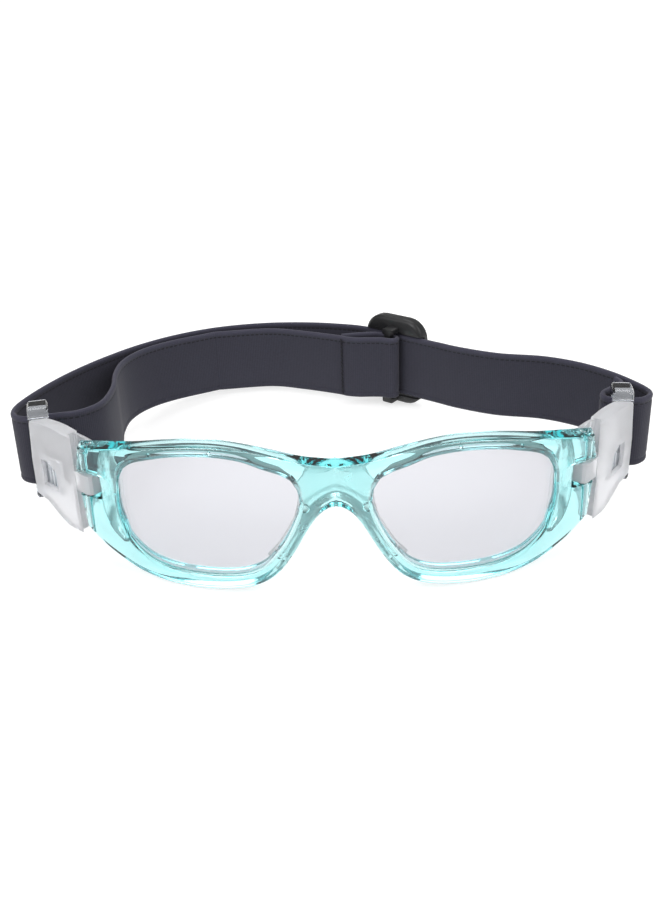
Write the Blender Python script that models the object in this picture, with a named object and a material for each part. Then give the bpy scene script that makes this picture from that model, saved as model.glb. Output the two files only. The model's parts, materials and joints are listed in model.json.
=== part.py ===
"""Sports protective goggles: wrap front, hinged side arms, elastic head strap and adjuster.

Goggle axes in mm: x along the wearer's left, y from the front back to the head, z up.
The whole object leans back so that it rests on both rims and on the adjuster.
"""
import math

import bmesh
import bpy
import numpy as np
from mathutils import Vector

MM = 0.001
WRAP_RADIUS = 145.0      # plan curve of the front
FRAME_DEPTH = 6.5
EDGE_ROUND = 1.1
GROOVE_FRONT, GROOVE_BACK, GROOVE_DEEP = 1.9, 4.3, 1.3
LENS_FRONT, LENS_THICK, LENS_TUCK = 2.2, 1.8, 1.0
PIN_X, PIN_RADIUS, CLEAR = 70.9, 1.0, 0.3
KNUCKLE_TOP, KNUCKLE_BOTTOM = 7.9, 1.2
ARM_TURN = {1: 8.0, -1: 0.0}     # how far each arm is folded in as the goggles lie, in degrees
SWING = (-24, -17, -10, -3, 4)    # arm angles from its straight position that the knuckles must clear
SHIELD_IN, SHIELD_OUT = 5.4, 7.7  # the arm curves round behind the knuckles between these radii
EDGE_LEAN = 0.06                  # the arm's back edge and its loop lean out towards the bottom
PANEL_HALF = 2.5
STRAP_LOW, STRAP_HIGH, STRAP_THICK = -5.5, 17.0, 1.6
SWING_CUT = 52.0         # strap is split on this radius about each hinge pin
ADJ_CENTRE = (21.5, 105.2)
ADJ_DIR = (0.794, -0.608)
LEAN_DEG = 8.3

for o in list(bpy.data.objects):
    bpy.data.objects.remove(o, do_unlink=True)


def wrap(x):
    return x * x / (2 * WRAP_RADIUS)


PIN_Y = wrap(PIN_X) + 3.25


def material(name, colour, rough, transmission=0.0, alpha=1.0, ior=1.5):
    m = bpy.data.materials.new(name)
    m.use_nodes = True
    b = m.node_tree.nodes["Principled BSDF"]
    b.inputs["Base Color"].default_value = (*colour, 1)
    b.inputs["Roughness"].default_value = rough
    b.inputs["IOR"].default_value = ior
    b.inputs["Transmission Weight"].default_value = transmission
    b.inputs["Alpha"].default_value = alpha
    return m


AQUA = ((0.35, 0.88, 0.88), 0.08, 0.9)
CLEAR_LENS = ((0.90, 0.90, 0.94), 0.03, 0.95)
FROST = ((0.78, 0.80, 0.84), 0.35, 0.4)
PAD = ((0.50, 0.76, 0.75), 0.40, 0.3)
LOOP = ((0.72, 0.76, 0.80), 0.12, 0.8)
WEB = ((0.050, 0.048, 0.068), 0.90, 0.0)
THREAD = ((0.035, 0.034, 0.050), 0.85, 0.0)
BLACK = ((0.012, 0.012, 0.014), 0.35, 0.0)
CLEAR_PIN = ((0.80, 0.86, 0.88), 0.15, 0.8)


def empty(name, parent=None, at=(0, 0, 0)):
    e = bpy.data.objects.new(name, None)
    bpy.context.scene.collection.objects.link(e)
    e.parent = parent
    e.location = Vector(at) * MM
    return e


def add(name, bm, look, parent, origin=(0, 0, 0), sharp=35):
    """Closes off a node: bm is in goggle axes (mm), origin is the piece's own pivot."""
    o = Vector(origin)
    for v in bm.verts:
        v.co = (v.co - o) * MM
    bmesh.ops.recalc_face_normals(bm, faces=bm.faces)
    mesh = bpy.data.meshes.new(name)
    bm.to_mesh(mesh)
    bm.free()
    obj = bpy.data.objects.new(name, mesh)
    bpy.context.scene.collection.objects.link(obj)
    obj.parent = parent
    obj.location = (o - Vector(PIVOTS.get(parent.name, (0, 0, 0)))) * MM
    mesh.materials.append(material(name + "_look", *look))
    mesh.shade_smooth()
    mesh.set_sharp_from_angle(angle=math.radians(sharp))
    return obj


def spline(points, steps, closed=False):
    """Catmull-Rom curve through hand-placed points."""
    p = [np.array(q, float) for q in points]
    n = len(p)
    out = []
    for i in range(n if closed else n - 1):
        a = p[(i - 1) % n] if closed or i else 2 * p[0] - p[1]
        b, c = p[i], p[(i + 1) % n]
        d = p[(i + 2) % n] if closed or i + 2 < n else 2 * p[-1] - p[-2]
        for k in range(steps):
            t = k / steps
            out.append(0.5 * (2 * b + (c - a) * t + (2 * a - 5 * b + 4 * c - d) * t ** 2
                              + (3 * b - a - 3 * c + d) * t ** 3))
    if not closed:
        out.append(p[-1])
    return out


def even(points, gap):
    """The same curve with stations about `gap` apart."""
    p = np.array(points, float)
    s = np.r_[0, np.cumsum(np.linalg.norm(np.diff(p, axis=0), axis=1))]
    n = max(2, int(round(s[-1] / gap)))
    at = np.linspace(0, s[-1], n + 1)
    return np.stack([np.interp(at, s, p[:, k]) for k in range(p.shape[1])], 1)


def loft(rings, closed=False, bm=None):
    """Skin through rings of points; open lofts get flat end caps."""
    bm = bm or bmesh.new()
    vs = [[bm.verts.new(tuple(float(c) for c in q)) for q in r] for r in rings]
    n = len(vs[0])
    for i in range(len(vs) if closed else len(vs) - 1):
        a, b = vs[i], vs[(i + 1) % len(vs)]
        for k in range(n):
            bm.faces.new((a[k], a[(k + 1) % n], b[(k + 1) % n], b[k]))
    if not closed:
        bm.faces.new(vs[0])
        bm.faces.new(list(reversed(vs[-1])))
    return bm


def drum(centre, axis, radius, lo, hi, n=20):
    """Round bar along one axis, used for pins, pegs and drilled holes."""
    rings = []
    for h in (lo, hi):
        ring = []
        for k in range(n):
            a = 2 * math.pi * k / n
            c = np.array(centre, float)
            u, v = [j for j in range(3) if j != axis]
            c[axis] = h
            c[u] += radius * math.cos(a)
            c[v] += radius * math.sin(a)
            ring.append(c)
        rings.append(ring)
    return loft(rings)


def rounded(a0, a1, z0, z1, r, n=5):
    pts = []
    for (ca, cz), start in (((a1 - r, z1 - r), 0), ((a0 + r, z1 - r), 90),
                            ((a0 + r, z0 + r), 180), ((a1 - r, z0 + r), 270)):
        for k in range(n):
            a = math.radians(start + 90 * k / (n - 1))
            pts.append((ca + r * math.cos(a), cz + r * math.sin(a)))
    return pts


def cutter(bm):
    for v in bm.verts:
        v.co *= MM
    bmesh.ops.recalc_face_normals(bm, faces=bm.faces)
    mesh = bpy.data.meshes.new("cut")
    bm.to_mesh(mesh)
    bm.free()
    c = bpy.data.objects.new("cut", mesh)
    bpy.context.scene.collection.objects.link(c)
    return c


def boolean(bm, others, how="DIFFERENCE"):
    """bm (mm) with each other mesh (mm) cut from it or joined to it."""
    base = cutter(bm)
    for other in others:
        c = cutter(other)
        mod = base.modifiers.new("b", "BOOLEAN")
        mod.operation, mod.solver, mod.object = how, "EXACT", c
        done = base.evaluated_get(bpy.context.evaluated_depsgraph_get()).to_mesh().copy()
        base.modifiers.clear()
        base.data = done
        bpy.data.objects.remove(c, do_unlink=True)
    out = bmesh.new()
    out.from_mesh(base.data)
    bpy.data.objects.remove(base, do_unlink=True)
    for v in out.verts:
        v.co /= MM
    return out


def tidy(bm):
    bmesh.ops.remove_doubles(bm, verts=bm.verts, dist=0.005)
    bmesh.ops.dissolve_degenerate(bm, edges=bm.edges, dist=0.002)
    return bm


PIVOTS = {}
lean = empty("goggles_lean")
lean.rotation_euler[0] = -math.radians(LEAN_DEG)
hinge = {}
for side, name in ((1, "left"), (-1, "right")):
    PIVOTS["hinge_" + name] = (side * PIN_X, PIN_Y, 1.4)
    hinge[name] = empty("hinge_" + name, lean, PIVOTS["hinge_" + name])
PIVOTS["adjuster_slide"] = (*ADJ_CENTRE, 5.75)
slide = empty("adjuster_slide", lean, PIVOTS["adjuster_slide"])

# ---- front frame -------------------------------------------------------------------------
# Each pair is a point on the outer outline and the point beside it on the lens opening.
CORNER = True
PAIRS = [
    ((0, 16.9), (12.2, 12.8), CORNER), ((9.2, 17.9), (15.2, 14.4)), ((17.5, 19.8), (19.6, 15.8)),
    ((25.5, 21.2), (25.4, 17.8)), ((32.5, 21.8), (32, 18.5)), ((40, 21.4), (39, 18.2)),
    ((48, 20.2), (45.6, 17.2)), ((56, 18.6), (51.3, 15.7)), ((65, 17.2), (56, 14.1)),
    ((72.8, 15.8), (59.0, 12.0), CORNER), ((74.0, 8.2), (60.5, 9.2), CORNER),
    ((66.9, KNUCKLE_TOP), (61.2, 6.6), CORNER), ((66.7, KNUCKLE_BOTTOM), (61.45, 1.0), CORNER),
    ((73.5, KNUCKLE_BOTTOM - 0.1), (61.2, -2.6), CORNER), ((72.6, -9.3), (59.3, -10.2), CORNER),
    ((67.5, -14.3), (57.0, -13.1)), ((61.7, -18.1), (53.8, -15.7)), ((56.0, -20.9), (50.0, -17.3)),
    ((49.3, -22.6), (45.4, -18.3)), ((41.6, -23.2), (39.5, -18.65)), ((34, -22.9), (33, -18.45)),
    ((27.5, -22.0), (27.4, -17.7)), ((22.2, -20.4), (23.3, -16.3)), ((17.7, -17.5), (19.9, -14.1)),
    ((14.2, -13.4), (17.1, -10.8)), ((11.0, -8.2), (14.8, -7.5)), ((8.1, -2.8), (12.7, -3.6)),
    ((5.2, 1.7), (11.0, 0.4)), ((2.4, 4.2), (10.1, 3.6)), ((0, 4.9), (9.75, 6.3), CORNER),
    ((0, 12.2), (10.4, 9.8)),
]


def paired_outline():
    """Outer and opening points side by side round the half frame, corners kept."""
    corners = [i for i, p in enumerate(PAIRS) if len(p) == 3]
    out, kind = [], []
    for a, b in zip(corners, corners[1:] + [corners[0] + len(PAIRS)]):
        run = [np.r_[PAIRS[k % len(PAIRS)][0], PAIRS[k % len(PAIRS)][1]] for k in range(a, b + 1)]
        pts = spline(run, 2)[:-1]
        out += pts
        kind += [CORNER] + [False] * (len(pts) - 1)
    return np.array(out), kind


def rightward(loop, i):
    """Unit normal on the right of a clockwise outline: into the shape it encloses."""
    n = len(loop)
    d = loop[(i + 1) % n] - loop[(i - 1) % n]
    v = np.array([d[1], -d[0]])
    return v / max(np.linalg.norm(v), 1e-9)


def opening_loop():
    pts, _ = paired_outline()
    return pts[:, 2:]


def frame_half(sign):
    pts, _ = paired_outline()
    outer, inner = pts[:, :2], pts[:, 2:]
    n = len(pts)
    d = FRAME_DEPTH
    r = EDGE_ROUND
    rings = []
    for i in range(n):
        b, a = outer[i], inner[i]
        nb = rightward(outer, i)
        na = -rightward(inner, i)
        middle = abs(b[0]) < 1e-6
        if middle:
            top = b[1] > 19.4
            low = b[1] < 5.0
            nb = np.array([0.0, -1.0 if top else 1.0 if low else 0.0])

        def q(p, deep):
            return (sign * p[0], wrap(p[0]) + deep, p[1])
        front_in, front_out = a + r * na, b + r * nb
        ring = [q(a, 1.1), q(a + 0.35 * na, 0.35), q(front_in, 0.0),
                q(0.5 * (front_in + front_out), -0.25), q(front_out, 0.0),
                q(b + 0.35 * nb, 0.35), q(b, 1.1), q(b, d - 1.1),
                q(b + 0.35 * nb, d - 0.35), q(front_out, d), q(front_in, d),
                q(a + 0.35 * na, d - 0.35), q(a, d - 1.1), q(a, GROOVE_BACK),
                q(a + GROOVE_DEEP * na, GROOVE_BACK), q(a + GROOVE_DEEP * na, GROOVE_FRONT),
                q(a, GROOVE_FRONT)]
        rings.append((ring, middle))
    return rings


bm = bmesh.new()
for sign in (1, -1):
    rings = frame_half(sign)
    vs = [[bm.verts.new(tuple(float(c) for c in p)) for p in ring] for ring, _ in rings]
    n, k = len(vs), len(vs[0])
    for i in range(n):
        j = (i + 1) % n
        both = rings[i][1] and rings[j][1]
        for m in range(k):
            if both and 4 <= m <= 8:
                continue
            quad = (vs[i][m], vs[j][m], vs[j][(m + 1) % k], vs[i][(m + 1) % k])
            bm.faces.new(quad)
bmesh.ops.remove_doubles(bm, verts=bm.verts, dist=0.01)
loose = [v for v in bm.verts if not v.link_faces]
bmesh.ops.delete(bm, geom=loose, context="VERTS")
bmesh.ops.recalc_face_normals(bm, faces=bm.faces)

PEGS = [(8.2, 3.0), (15.7, -12.1)]
DIMPLES = [(50.7, 17.6), (33.6, 20.0)]
cuts = []
for s in (1, -1):
    cuts.append(drum((s * PIN_X, PIN_Y, 0), 2, PIN_RADIUS + CLEAR, -30, 30))
    cuts.append(drum((s * PIN_X, PIN_Y, 0), 2, 2.0, 14.0, 30))
    for x, z in PEGS:
        cuts.append(drum((s * x, 0, z), 1, 1.2, wrap(x) + 4.55, 30, 14))
    for x, z in DIMPLES:
        cuts.append(drum((s * x, 0, z), 1, 0.5, -5, wrap(x) + 0.8, 12))
lean_s, lean_c = math.sin(math.radians(LEAN_DEG)), math.cos(math.radians(LEAN_DEG))


def below_table(level):
    """Block under the resting plane: the rims get small flat lands where they stand."""
    ring = []
    for x in (-120, 120):
        for yw, zw in ((-60, level), (160, level), (160, level - 40), (-60, level - 40)):
            ring.append((x, yw * lean_c - zw * lean_s, yw * lean_s + zw * lean_c))
    return loft([ring[:4], ring[4:]])


def lowest(points):
    return min(-y * lean_s + z * lean_c for _, y, z in points)


RIM_LEVEL = lowest([v.co for v in bm.verts]) + 0.12
frame_bm = boolean(bm, cuts + [below_table(RIM_LEVEL)])
add("front_frame", tidy(frame_bm), AQUA, lean)

# ---- lenses ------------------------------------------------------------------------------
opening = opening_loop()
for sign, name in ((1, "left"), (-1, "right")):
    centre = np.array([35.6, 0.0])
    grown = []
    for i in range(len(opening)):
        grown.append(opening[i] - LENS_TUCK * rightward(opening, i))
    grown = np.array(grown)
    bm = bmesh.new()
    levels = (1.0, 0.86, 0.7, 0.54, 0.38, 0.22)
    layer = {}
    for deep in (LENS_FRONT, LENS_FRONT + LENS_THICK):
        for f in levels:
            layer[deep, f] = [bm.verts.new((sign * float(p[0]), wrap(float(p[0])) + deep, float(p[1])))
                              for p in centre + (grown - centre) * f]
        layer[deep, 0] = bm.verts.new((sign * 35.6, wrap(35.6) + deep, 0))
        for f, g in zip(levels, levels[1:]):
            a, b = layer[deep, f], layer[deep, g]
            for i in range(len(a)):
                j = (i + 1) % len(a)
                bm.faces.new((a[i], a[j], b[j], b[i]))
        a = layer[deep, levels[-1]]
        for i in range(len(a)):
            bm.faces.new((a[i], a[(i + 1) % len(a)], layer[deep, 0]))
    a, b = layer[LENS_FRONT, 1.0], layer[LENS_FRONT + LENS_THICK, 1.0]
    for i in range(len(a)):
        j = (i + 1) % len(a)
        bm.faces.new((a[i], a[j], b[j], b[i]))
    add("lens_" + name, bm, CLEAR_LENS, lean, (sign * 35.6, wrap(35.6), 0))

# ---- nose pad: a saddle with a plate on the frame and a skirt along the nose --------------
# notch edge point, how far the plate climbs the frame from it, how far the skirt reaches back
NOSE = [((0, 5.6), 9.4, 3.6), ((3.2, 4.4), 9.9, 3.6), ((6.2, 1.2), 5.2, 3.8), ((9.0, -3.6), 3.4, 4.0),
        ((11.8, -8.8), 3.1, 4.2), ((14.6, -13.2), 3.0, 4.2), ((17.6, -16.6), 2.7, 3.8)]
right = [np.array([x, z, up, back]) for (x, z), up, back in NOSE]
left = [np.array([-p[0], p[1], p[2], p[3]]) for p in reversed(right[1:])]
stations = spline(left + right, 3)
rings = []
for i, p in enumerate(stations):
    a = stations[max(0, i - 1)][:2]
    b = stations[min(len(stations) - 1, i + 1)][:2]
    t = (b - a) / np.linalg.norm(b - a)
    up = np.array([-t[1], t[0]])
    if up[1] < 0:
        up = -up
    taper = 1.0 if 0 < i < len(stations) - 1 else 0.6
    x, z, climb, reach = p
    climb = climb * taper
    face = FRAME_DEPTH + CLEAR

    def q(across, deep, drift=0.0):
        c = np.array([x, z]) + up * across
        return (c[0], wrap(c[0]) + face + deep, c[1] + drift)
    rings.append([q(0.0, 0.5), q(0.5, 0.0), q(climb - 0.5, 0.0), q(climb, 0.4), q(climb, 1.0),
                  q(climb - 0.5, 1.5), q(2.6, 1.7), q(2.3, 2.6), q(2.6, reach - 0.4),
                  q(2.2, reach), q(1.5, reach), q(1.0, reach - 0.6), q(0.2, 2.0)])
pad = loft(rings)
pegs = [drum((s * x, 0, z), 1, 0.9, wrap(x) + 4.85, wrap(x) + FRAME_DEPTH + 1.0, 14)
        for s in (1, -1) for x, z in PEGS]
add("nose_pad", tidy(boolean(pad, pegs, "UNION")), PAD, lean, (0, 8, 0))

# ---- side pads: soft crescents behind the outer ends of the rims --------------------------
CRESCENT = [((62.6, 16.0), 1.6, 1.6), ((64.3, 12.6), 3.2, 4.6), ((65.1, 6.5), 3.6, 6.6),
            ((65.0, 0.0), 3.6, 7.2), ((64.4, -5.5), 3.4, 6.6), ((62.9, -10.4), 3.0, 4.6),
            ((60.6, -14.0), 1.6, 1.6)]
for sign, name in ((1, "left"), (-1, "right")):
    rings = []
    for x, z, wide, deep in spline([np.r_[c, w, d] for c, w, d in CRESCENT], 3):
        base = FRAME_DEPTH + CLEAR
        ring = []
        for u, v in ((-0.5, 0.1), (-0.35, 0), (0.35, 0), (0.5, 0.1), (0.42, 0.6), (0.28, 0.9),
                     (0.05, 1.0), (-0.2, 0.93), (-0.42, 0.6)):
            px = x + u * wide - 0.22 * v * deep
            ring.append((sign * px, wrap(x + u * wide) + base + v * deep, z))
        rings.append(ring)
    add("side_pad_" + name, loft(rings), FROST, lean, (sign * 64, wrap(64) + 6, 1))

# ---- hinge pins --------------------------------------------------------------------------
for sign, name in ((1, "left"), (-1, "right")):
    rings = []
    for r, z in ((0.7, -10.6), (PIN_RADIUS, -10.2), (PIN_RADIUS, 14.3), (1.65, 14.3), (1.65, 15.1),
                 (1.3, 15.5)):
        rings.append([(sign * PIN_X + r * math.cos(a), PIN_Y + r * math.sin(a), z)
                      for a in np.linspace(0, 2 * math.pi, 17)[:-1]])
    add("hinge_pin_" + name, loft(rings), CLEAR_PIN, lean, (sign * PIN_X, PIN_Y, 1.4))

# ---- side arms ---------------------------------------------------------------------------
ARM_DIR = np.array([0.757, 0.653])
ARM_OUT = np.array([0.653, -0.757])
PANEL_START, PANEL_END = 7.3, 21.6     # the outer edge reaches forward, close behind the knuckles
# distance back from the pin, lower edge, upper edge
SIDE_SHAPE = [(PANEL_START, -13.2, 18.0), (10.5, -13.0, 18.5), (14.5, -11.2, 18.6),
              (18.2, -8.9, 18.4), (PANEL_END, -6.9, 18.0)]


def turned(sign, p, angle=0.0):
    """Plan offset from the pin, turned in with the arm, as a place on that side."""
    a = math.radians(ARM_TURN[sign] + angle)
    x = p[0] * math.cos(a) - p[1] * math.sin(a)
    y = p[0] * math.sin(a) + p[1] * math.cos(a)
    return sign * (PIN_X + x), PIN_Y + y


def arm_point(sign, along, out, z):
    return (*turned(sign, ARM_DIR * along + ARM_OUT * out), z)


LOOP_DIR = np.array([0.25, 0.97])
LOOP_OUT = np.array([0.97, -0.25])
LOOP_START = ARM_DIR * (PANEL_END + 0.2)
LEAN_FROM = 17.0
MITRE = -np.dot(ARM_OUT, LOOP_DIR) / np.dot(ARM_DIR, LOOP_DIR)   # arm's back face lies along the loop


def loop_point(sign, along, out, z):
    p = LOOP_START + ARM_DIR * EDGE_LEAN * (LEAN_FROM - z) + LOOP_DIR * along + LOOP_OUT * out
    return (*turned(sign, p), z)


# plan of the tongue between the knuckles: it fills the fork but stays inside a 4 mm swing
TONGUE = [(PANEL_START + 0.5, 2.3), (4.0, 2.5), (-1.6, 2.7), (-3.0, 2.4), (-3.55, 1.5), (-3.55, -1.4),
          (-3.0, -2.2), (-1.6, -2.5), (4.0, -2.3), (PANEL_START + 0.5, -2.1)]

def shield(sign):
    """The arm's front edge, carried round the pin behind the knuckles; its top slopes down inwards."""
    rings = []
    for angle, hi in ((44.5, 17.6), (56, 17.1), (66, 16.3), (75, 15.4), (84, 14.5), (93, 13.6)):
        a = math.radians(angle)
        ring = []
        for r, z in ((SHIELD_IN, -12.6), (SHIELD_OUT, -12.6), (SHIELD_OUT, hi), (SHIELD_IN, hi)):
            ring.append((*turned(sign, (r * math.cos(a), r * math.sin(a))), z))
        rings.append(ring)
    return loft(rings)


def swept_lugs(sign):
    """The room that both lugs need as the arm swings."""
    blocks = []
    plan = [(-9, -3.7), (3.45, -3.7), (3.45, 4.55), (-9, 4.0)]
    for z0, z1 in ((KNUCKLE_TOP - 0.2, 30), (-30, KNUCKLE_BOTTOM + 0.2)):
        for angle in SWING:
            blocks.append(loft([[(*turned(sign, p, angle), z) for p in plan] for z in (z0, z1)]))
    return blocks


for sign, name in ((1, "left"), (-1, "right")):
    rings = []
    for s, lo, hi in [tuple(q) for q in spline(SIDE_SHAPE, 2)]:
        h = PANEL_HALF - 0.2 * (s - PANEL_START) / (PANEL_END - PANEL_START)
        out = [(h - 0.8, lo), (h - 0.2, lo + 0.3), (h, lo + 1.0), (h + 0.25, 0.5 * (lo + hi)),
               (h, hi - 1.0), (h - 0.2, hi - 0.3), (h - 0.8, hi), (0.8 - h, hi), (0.2 - h, hi - 0.3),
               (-h, hi - 1.0), (-h, lo + 1.0), (0.2 - h, lo + 0.3), (0.8 - h, lo)]
        first, last = s == PANEL_START, s == PANEL_END
        rings.append([arm_point(sign, s + (0.2 + MITRE * o + EDGE_LEAN * (LEAN_FROM - z) if last else 0)
                                - (2.5 + 0.72 * o if first else 0), o, z) for o, z in out])
    panel = loft(rings)
    tongue = []
    for z in (KNUCKLE_BOTTOM + 0.35, KNUCKLE_TOP - 0.35):
        tongue.append([arm_point(sign, s, o, z) for s, o in TONGUE])
    arm = boolean(panel, [loft(tongue)], "UNION")

    def prism(outline, out_lo, out_hi):
        return loft([[arm_point(sign, s, o, z) for s, z in outline] for o in (out_lo, out_hi)])
    pocket = prism([(11.2, -3.6), (26, -3.6), (26, 7.4), (11.2, 7.4)], -1.1, 1.1)
    window = prism([(12.6, -2.4), (19.8, -1.8), (19.8, 6.5), (16.2, 6.5), (12.6, 4.2)], 0.8, 5.0)
    pin = (sign * PIN_X, PIN_Y, 0)
    arm = boolean(arm, [shield(sign)], "UNION")
    arm = boolean(arm, [drum(pin, 2, PIN_RADIUS + CLEAR, -30, 30), pocket, window] + swept_lugs(sign))
    add("side_arm_" + name, tidy(arm), FROST, hinge[name], (sign * PIN_X, PIN_Y, 1.4), 30)

    # clear strap loop: a stiff ring behind the arm, with a ribbed tongue held in the arm's pocket
    body = [[loop_point(sign, a, o, z) for a, z in rounded(0.3 + i, 9.2 - i, -9.4 + i, 21.0 - i, 2.2)]
            for o, i in ((-3.0, 0.5), (-2.5, 0), (2.5, 0), (3.0, 0.5))]
    hole = loft([[loop_point(sign, a, o, z) for a, z in rounded(2.5, 6.6, -6.0, 17.6, 0.8)]
                 for o in (-6, 6)])
    ring = boolean(loft(body), [hole])
    rib = [(21.5, -3.2), (11.5, -3.2), (11.5, 7.0), (21.5, 7.0)]
    tenon = loft([[arm_point(sign, s, o, z) for s, z in rib] for o in (-0.8, 0.4)])
    adds = [tenon]
    for s in (13.4, 15.0, 16.6, 18.2):
        adds.append(loft([[arm_point(sign, a, o, z) for a, z in
                           ((s, -2.6), (s + 0.7, -2.6), (s + 0.7, 6.4), (s, 6.4))] for o in (0.2, 0.8)]))
    neck = [[loop_point(sign, a, o, z) for a, o in ((1.2, 0.9), (1.2, -0.6))]
            + [arm_point(sign, 21.2, -0.8, z), arm_point(sign, 21.2, 0.4, z)] for z in (-3.2, 7.0)]
    adds.append(loft(neck))
    add("strap_loop_" + name, tidy(boolean(ring, adds, "UNION")), LOOP, hinge[name],
        (sign * PIN_X, PIN_Y, 1.4), 30)

# ---- elastic strap -----------------------------------------------------------------------
adj = np.array(ADJ_CENTRE)
adj_t = np.array(ADJ_DIR)
adj_n = np.array([adj_t[1], -adj_t[0]])     # towards the wearer


def adj_xy(s, n):
    return tuple(adj + adj_t * s + adj_n * n)


RIGHT_OUTER = [adj_xy(-13, 0), (3, 116.4), (-10, 119.3), (-26, 119.8), (-42, 116.6), (-56, 109.8),
               (-68, 100.2), (-78, 88.6), (-86.4, 76), (-92.8, 63), (-97.0, 51), (-97.6, 44.5)]
RIGHT_FOLD = [(-97.6, 44.5), (-95.9, 40.8), (-92.4, 39.1), (-89.0, 39.6), (-84.4, 41.2), (-77, 43.5)]
RIGHT_INNER = [(-77, 43.5), (-71.8, 50), (-70.6, 62), (-72, 74), (-71.4, 85), (-67, 94.6),
               (-58.5, 102.6), (-43, 111.4), (-24, 113.6), (-12, 110.2), adj_xy(-15.8, 13.0)]
LEFT_OUTER = [adj_xy(27, 0), (55, 82.2), (69, 78.4), (79.4, 72.2), (87.3, 64.0), (92.7, 55.4), (95.6, 48.6)]
LEFT_FOLD = [(95.6, 48.6), (95.1, 44.8), (92.2, 42.1), (89.2, 41.7), (86.2, 42.0), (83.2, 42.5),
             (81.3, 44.4), (81.6, 47.4), (84.0, 50.2), (87.2, 52.6), (89.2, 55.6), (88.2, 58.8)]
SEWN = [adj_xy(-15.4, 13.0), adj_xy(-12, 12.6), adj_xy(-8, 11.0), adj_xy(-4, 8.2), adj_xy(-1, 6.4),
        adj_xy(1.6, 5.9), adj_xy(3.2, 4.2), adj_xy(2.6, 2.5), adj_xy(0.6, 1.95), adj_xy(-3, 2.05),
        adj_xy(-7, 3.2), adj_xy(-11, 6.6), adj_xy(-14, 10.0), adj_xy(-15.2, 11.2)]


def ribbon(path, gap=2.6, starts=None, ends=None):
    """Flat woven band standing on its edge along a plan curve."""
    pts = even(spline([np.array(p) for p in path], 8), gap)
    h = STRAP_THICK / 2
    section = [(h - 0.35, STRAP_LOW), (h, STRAP_LOW + 0.4), (h, 2.0), (h, 9.5), (h, STRAP_HIGH - 0.4),
               (h - 0.35, STRAP_HIGH), (0.35 - h, STRAP_HIGH), (-h, STRAP_HIGH - 0.4), (-h, 9.5), (-h, 2.0),
               (-h, STRAP_LOW + 0.4), (0.35 - h, STRAP_LOW)]
    rings = []
    for i, p in enumerate(pts):
        a, b = pts[max(0, i - 1)], pts[min(len(pts) - 1, i + 1)]
        t = (b - a) / np.linalg.norm(b - a)
        side = np.array([-t[1], t[0]])
        ring = []
        for o, z in section:
            c = p + side * o
            cut = starts if i == 0 else ends if i == len(pts) - 1 else None
            if cut:
                pin, radius = np.array(cut[0]), cut[1]
                w = c - pin
                k = -np.dot(w, t)
                root = math.sqrt(max(k * k - np.dot(w, w) + radius * radius, 0))
                c = c + t * (k + root if abs(k + root) < abs(k - root) else k - root)
            ring.append((c[0], c[1], z))
        rings.append(ring)
    return loft(rings)


def split(path, pin, radius):
    """Parts of the curve inside and outside the swing radius (curve starts outside)."""
    pts = spline([np.array(p) for p in path], 12)
    r = [np.linalg.norm(p - np.array(pin)) for p in pts]
    k = next(i for i in range(len(pts)) if r[i] < radius)
    return pts[:k], pts[k:]


def thin(points, gap=4.0):
    return [tuple(p) for p in even(points, gap)]


pin_l, pin_r = (PIN_X, PIN_Y), (-PIN_X, PIN_Y)
NEAR, FAR = SWING_CUT - 0.2, SWING_CUT + 0.2

out_r, in_r = split(RIGHT_OUTER, pin_r, SWING_CUT)
out_l, in_l = split(LEFT_OUTER, pin_l, SWING_CUT)
inner_rev = list(reversed(RIGHT_INNER))
inner_out, inner_in = split(inner_rev, pin_r, SWING_CUT)

run = thin(list(reversed(out_r)), 8.0)[:-1] + [adj_xy(-12, 0), adj_xy(-2, 0), adj_xy(8, 0), adj_xy(18, 0)] \
    + thin(out_l, 8.0)
add("strap_outer_run", ribbon(run, 2.8, (pin_r, FAR), (pin_l, FAR)), WEB, lean, (0, 100, 5.75))
add("strap_inner_run", ribbon(thin(inner_out, 8.0), 2.8, None, (pin_r, FAR)), WEB, lean, (-40, 100, 5.75))
fold_r = thin(in_r)[:-1] + RIGHT_FOLD[:-1] + thin(list(reversed(inner_in)))
add("strap_fold_right", ribbon(fold_r, 2.2, (pin_r, NEAR), (pin_r, NEAR)), WEB, hinge["right"],
    (-PIN_X, PIN_Y, 1.4))
fold_l = thin(in_l)[:-1] + LEFT_FOLD
add("strap_fold_left", ribbon(fold_l, 2.2, (pin_l, NEAR), None), WEB, hinge["left"], (PIN_X, PIN_Y, 1.4))
add("strap_sewn_end", ribbon(SEWN, 1.6), WEB, slide, (*ADJ_CENTRE, 5.75))


# ---- stitched seams: a raised row of thread over each sewn end ---------------------------
def seam(name, at, direction, lift, parent, origin):
    """Zig-zag bar of thread across the band's width, standing just off its surface."""
    t = np.array(direction) / np.linalg.norm(direction)
    side = np.array([t[1], -t[0]])
    rings = []
    n = 29
    for i in range(n):
        z = STRAP_LOW + 1.0 + (STRAP_HIGH - STRAP_LOW - 2.0) * i / (n - 1)
        mid = np.array(at) + t * (0.45 if i % 2 else -0.45)
        rings.append([(*(mid + t * u + side * (lift + v)), z)
                      for u, v in ((-0.3, 0.0), (0.3, 0.0), (0.22, 0.35), (-0.22, 0.35))])
    add(name, loft(rings), THREAD, parent, origin)


seam("seam_adjuster", adj_xy(-13.4, 12.85), adj_t, STRAP_THICK / 2 + 0.32, slide, (*ADJ_CENTRE, 5.75))
seam("seam_arm", (88.9, 57.2), (-0.22, 0.975), -STRAP_THICK / 2 - 0.72, hinge["left"], (PIN_X, PIN_Y, 1.4))

# ---- tri-glide adjuster ------------------------------------------------------------------
GLIDE_HALF, GLIDE_LOW, GLIDE_HIGH = 12.0, -8.75, 22.8


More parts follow.
